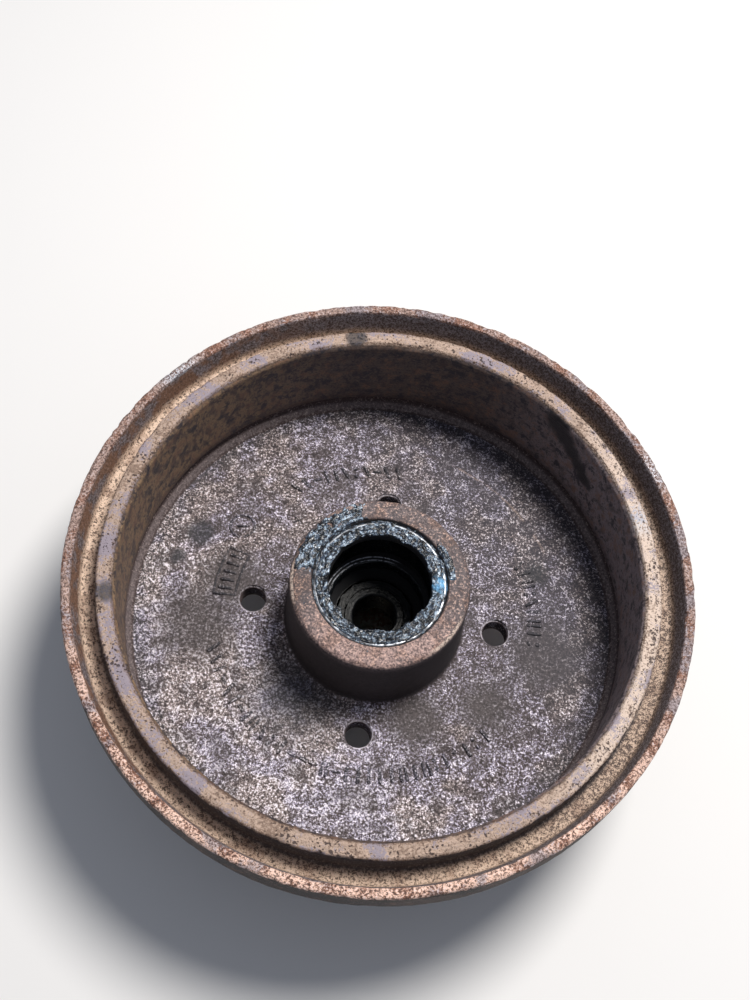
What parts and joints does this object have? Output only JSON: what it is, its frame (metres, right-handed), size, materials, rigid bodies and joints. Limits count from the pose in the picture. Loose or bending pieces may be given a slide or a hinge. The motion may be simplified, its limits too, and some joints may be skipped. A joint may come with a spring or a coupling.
{
  "type": "brake drum",
  "caption": "Rear brake drum with cast-in wheel hub, tapped bolt holes, a groove for the backing plate, bearing cups, a tapered roller bearing, shaft seal and dust cap.",
  "frame": {"origin": "centre of the wheel's mounting face, on the spin axis", "axes": "+Z along the spin axis, inboard, out of the drum's open side; +X through one wheel bolt hole"},
  "size_m": [0.24, 0.24, 0.083],
  "materials": {
    "rusted_cast_iron": "rusted, pitted casting with worn brown edges",
    "bearing_steel": "ground bearing steel under a film of grease",
    "pressed_steel": "dull pressed sheet",
    "seal_rubber": "worn nitrile rubber, greasy",
    "cap_steel": "zinc plated sheet, dulled and rust freckled",
    "bearing_grease": "wet blue-black lithium grease"
  },
  "bodies": {
    "drum": {"drum_hub_casting": "rusted_cast_iron", "inboard_bearing_cup": "bearing_steel", "outboard_bearing_cup": "bearing_steel", "shaft_seal_case": "pressed_steel", "shaft_seal_lip": "seal_rubber", "seal_garter_spring": "bearing_steel", "dust_cap": "cap_steel", "mouth_grease": "bearing_grease", "cavity_grease": "bearing_grease"},
    "bearing_cone": {"outboard_bearing_cone": "bearing_steel"},
    "bearing_cage": {"outboard_bearing_cage": "pressed_steel"},
    "roller_01": {"roller_01": "bearing_steel"},
    "roller_02": {"roller_02": "bearing_steel"},
    "roller_03": {"roller_03": "bearing_steel"},
    "roller_04": {"roller_04": "bearing_steel"},
    "roller_05": {"roller_05": "bearing_steel"},
    "roller_06": {"roller_06": "bearing_steel"},
    "roller_07": {"roller_07": "bearing_steel"},
    "roller_08": {"roller_08": "bearing_steel"},
    "roller_09": {"roller_09": "bearing_steel"},
    "roller_10": {"roller_10": "bearing_steel"},
    "roller_11": {"roller_11": "bearing_steel"},
    "roller_12": {"roller_12": "bearing_steel"},
    "roller_13": {"roller_13": "bearing_steel"},
    "roller_14": {"roller_14": "bearing_steel"}
  },
  "joints": [
    {"name": "cone_spin", "type": "hinge", "parent": "drum", "child": "bearing_cone", "pos_m": [0, 0, 0.0025], "axis": [0, 0, 1], "continuous": true},
    {"name": "cage_orbit", "type": "hinge", "parent": "drum", "child": "bearing_cage", "pos_m": [0, 0, 0.0035], "axis": [0, 0, 1], "continuous": true},
    {"name": "roller_01_spin", "type": "hinge", "parent": "bearing_cage", "child": "roller_01", "pos_m": [0.01441, 0, 0.0035], "axis": [-0.1601, 0, 0.9871], "continuous": true},
    {"name": "roller_02_spin", "type": "hinge", "parent": "bearing_cage", "child": "roller_02", "pos_m": [0.01298, 0.00625, 0.0035], "axis": [-0.1443, -0.0695, 0.9871], "continuous": true},
    {"name": "roller_03_spin", "type": "hinge", "parent": "bearing_cage", "child": "roller_03", "pos_m": [0.00898, 0.01127, 0.0035], "axis": [-0.0998, -0.1252, 0.9871], "continuous": true},
    {"name": "roller_04_spin", "type": "hinge", "parent": "bearing_cage", "child": "roller_04", "pos_m": [0.00321, 0.01405, 0.0035], "axis": [-0.0356, -0.1561, 0.9871], "continuous": true},
    {"name": "roller_05_spin", "type": "hinge", "parent": "bearing_cage", "child": "roller_05", "pos_m": [-0.00321, 0.01405, 0.0035], "axis": [0.0356, -0.1561, 0.9871], "continuous": true},
    {"name": "roller_06_spin", "type": "hinge", "parent": "bearing_cage", "child": "roller_06", "pos_m": [-0.00898, 0.01127, 0.0035], "axis": [0.0998, -0.1252, 0.9871], "continuous": true},
    {"name": "roller_07_spin", "type": "hinge", "parent": "bearing_cage", "child": "roller_07", "pos_m": [-0.01298, 0.00625, 0.0035], "axis": [0.1443, -0.0695, 0.9871], "continuous": true},
    {"name": "roller_08_spin", "type": "hinge", "parent": "bearing_cage", "child": "roller_08", "pos_m": [-0.01441, 0, 0.0035], "axis": [0.1601, 0, 0.9871], "continuous": true},
    {"name": "roller_09_spin", "type": "hinge", "parent": "bearing_cage", "child": "roller_09", "pos_m": [-0.01298, -0.00625, 0.0035], "axis": [0.1443, 0.0695, 0.9871], "continuous": true},
    {"name": "roller_10_spin", "type": "hinge", "parent": "bearing_cage", "child": "roller_10", "pos_m": [-0.00898, -0.01127, 0.0035], "axis": [0.0998, 0.1252, 0.9871], "continuous": true},
    {"name": "roller_11_spin", "type": "hinge", "parent": "bearing_cage", "child": "roller_11", "pos_m": [-0.00321, -0.01405, 0.0035], "axis": [0.0356, 0.1561, 0.9871], "continuous": true},
    {"name": "roller_12_spin", "type": "hinge", "parent": "bearing_cage", "child": "roller_12", "pos_m": [0.00321, -0.01405, 0.0035], "axis": [-0.0356, 0.1561, 0.9871], "continuous": true},
    {"name": "roller_13_spin", "type": "hinge", "parent": "bearing_cage", "child": "roller_13", "pos_m": [0.00898, -0.01127, 0.0035], "axis": [-0.0998, 0.1252, 0.9871], "continuous": true},
    {"name": "roller_14_spin", "type": "hinge", "parent": "bearing_cage", "child": "roller_14", "pos_m": [0.01298, -0.00625, 0.0035], "axis": [-0.1443, 0.0695, 0.9871], "continuous": true}
  ],
  "couplings": [
    {"joint": "cage_orbit", "follows": "cone_spin", "ratio": 0.4092},
    {"joint": "roller_01_spin", "follows": "cone_spin", "ratio": -2.6281},
    {"joint": "roller_02_spin", "follows": "cone_spin", "ratio": -2.6281},
    {"joint": "roller_03_spin", "follows": "cone_spin", "ratio": -2.6281},
    {"joint": "roller_04_spin", "follows": "cone_spin", "ratio": -2.6281},
    {"joint": "roller_05_spin", "follows": "cone_spin", "ratio": -2.6281},
    {"joint": "roller_06_spin", "follows": "cone_spin", "ratio": -2.6281},
    {"joint": "roller_07_spin", "follows": "cone_spin", "ratio": -2.6281},
    {"joint": "roller_08_spin", "follows": "cone_spin", "ratio": -2.6281},
    {"joint": "roller_09_spin", "follows": "cone_spin", "ratio": -2.6281},
    {"joint": "roller_10_spin", "follows": "cone_spin", "ratio": -2.6281},
    {"joint": "roller_11_spin", "follows": "cone_spin", "ratio": -2.6281},
    {"joint": "roller_12_spin", "follows": "cone_spin", "ratio": -2.6281},
    {"joint": "roller_13_spin", "follows": "cone_spin", "ratio": -2.6281},
    {"joint": "roller_14_spin", "follows": "cone_spin", "ratio": -2.6281}
  ]
}
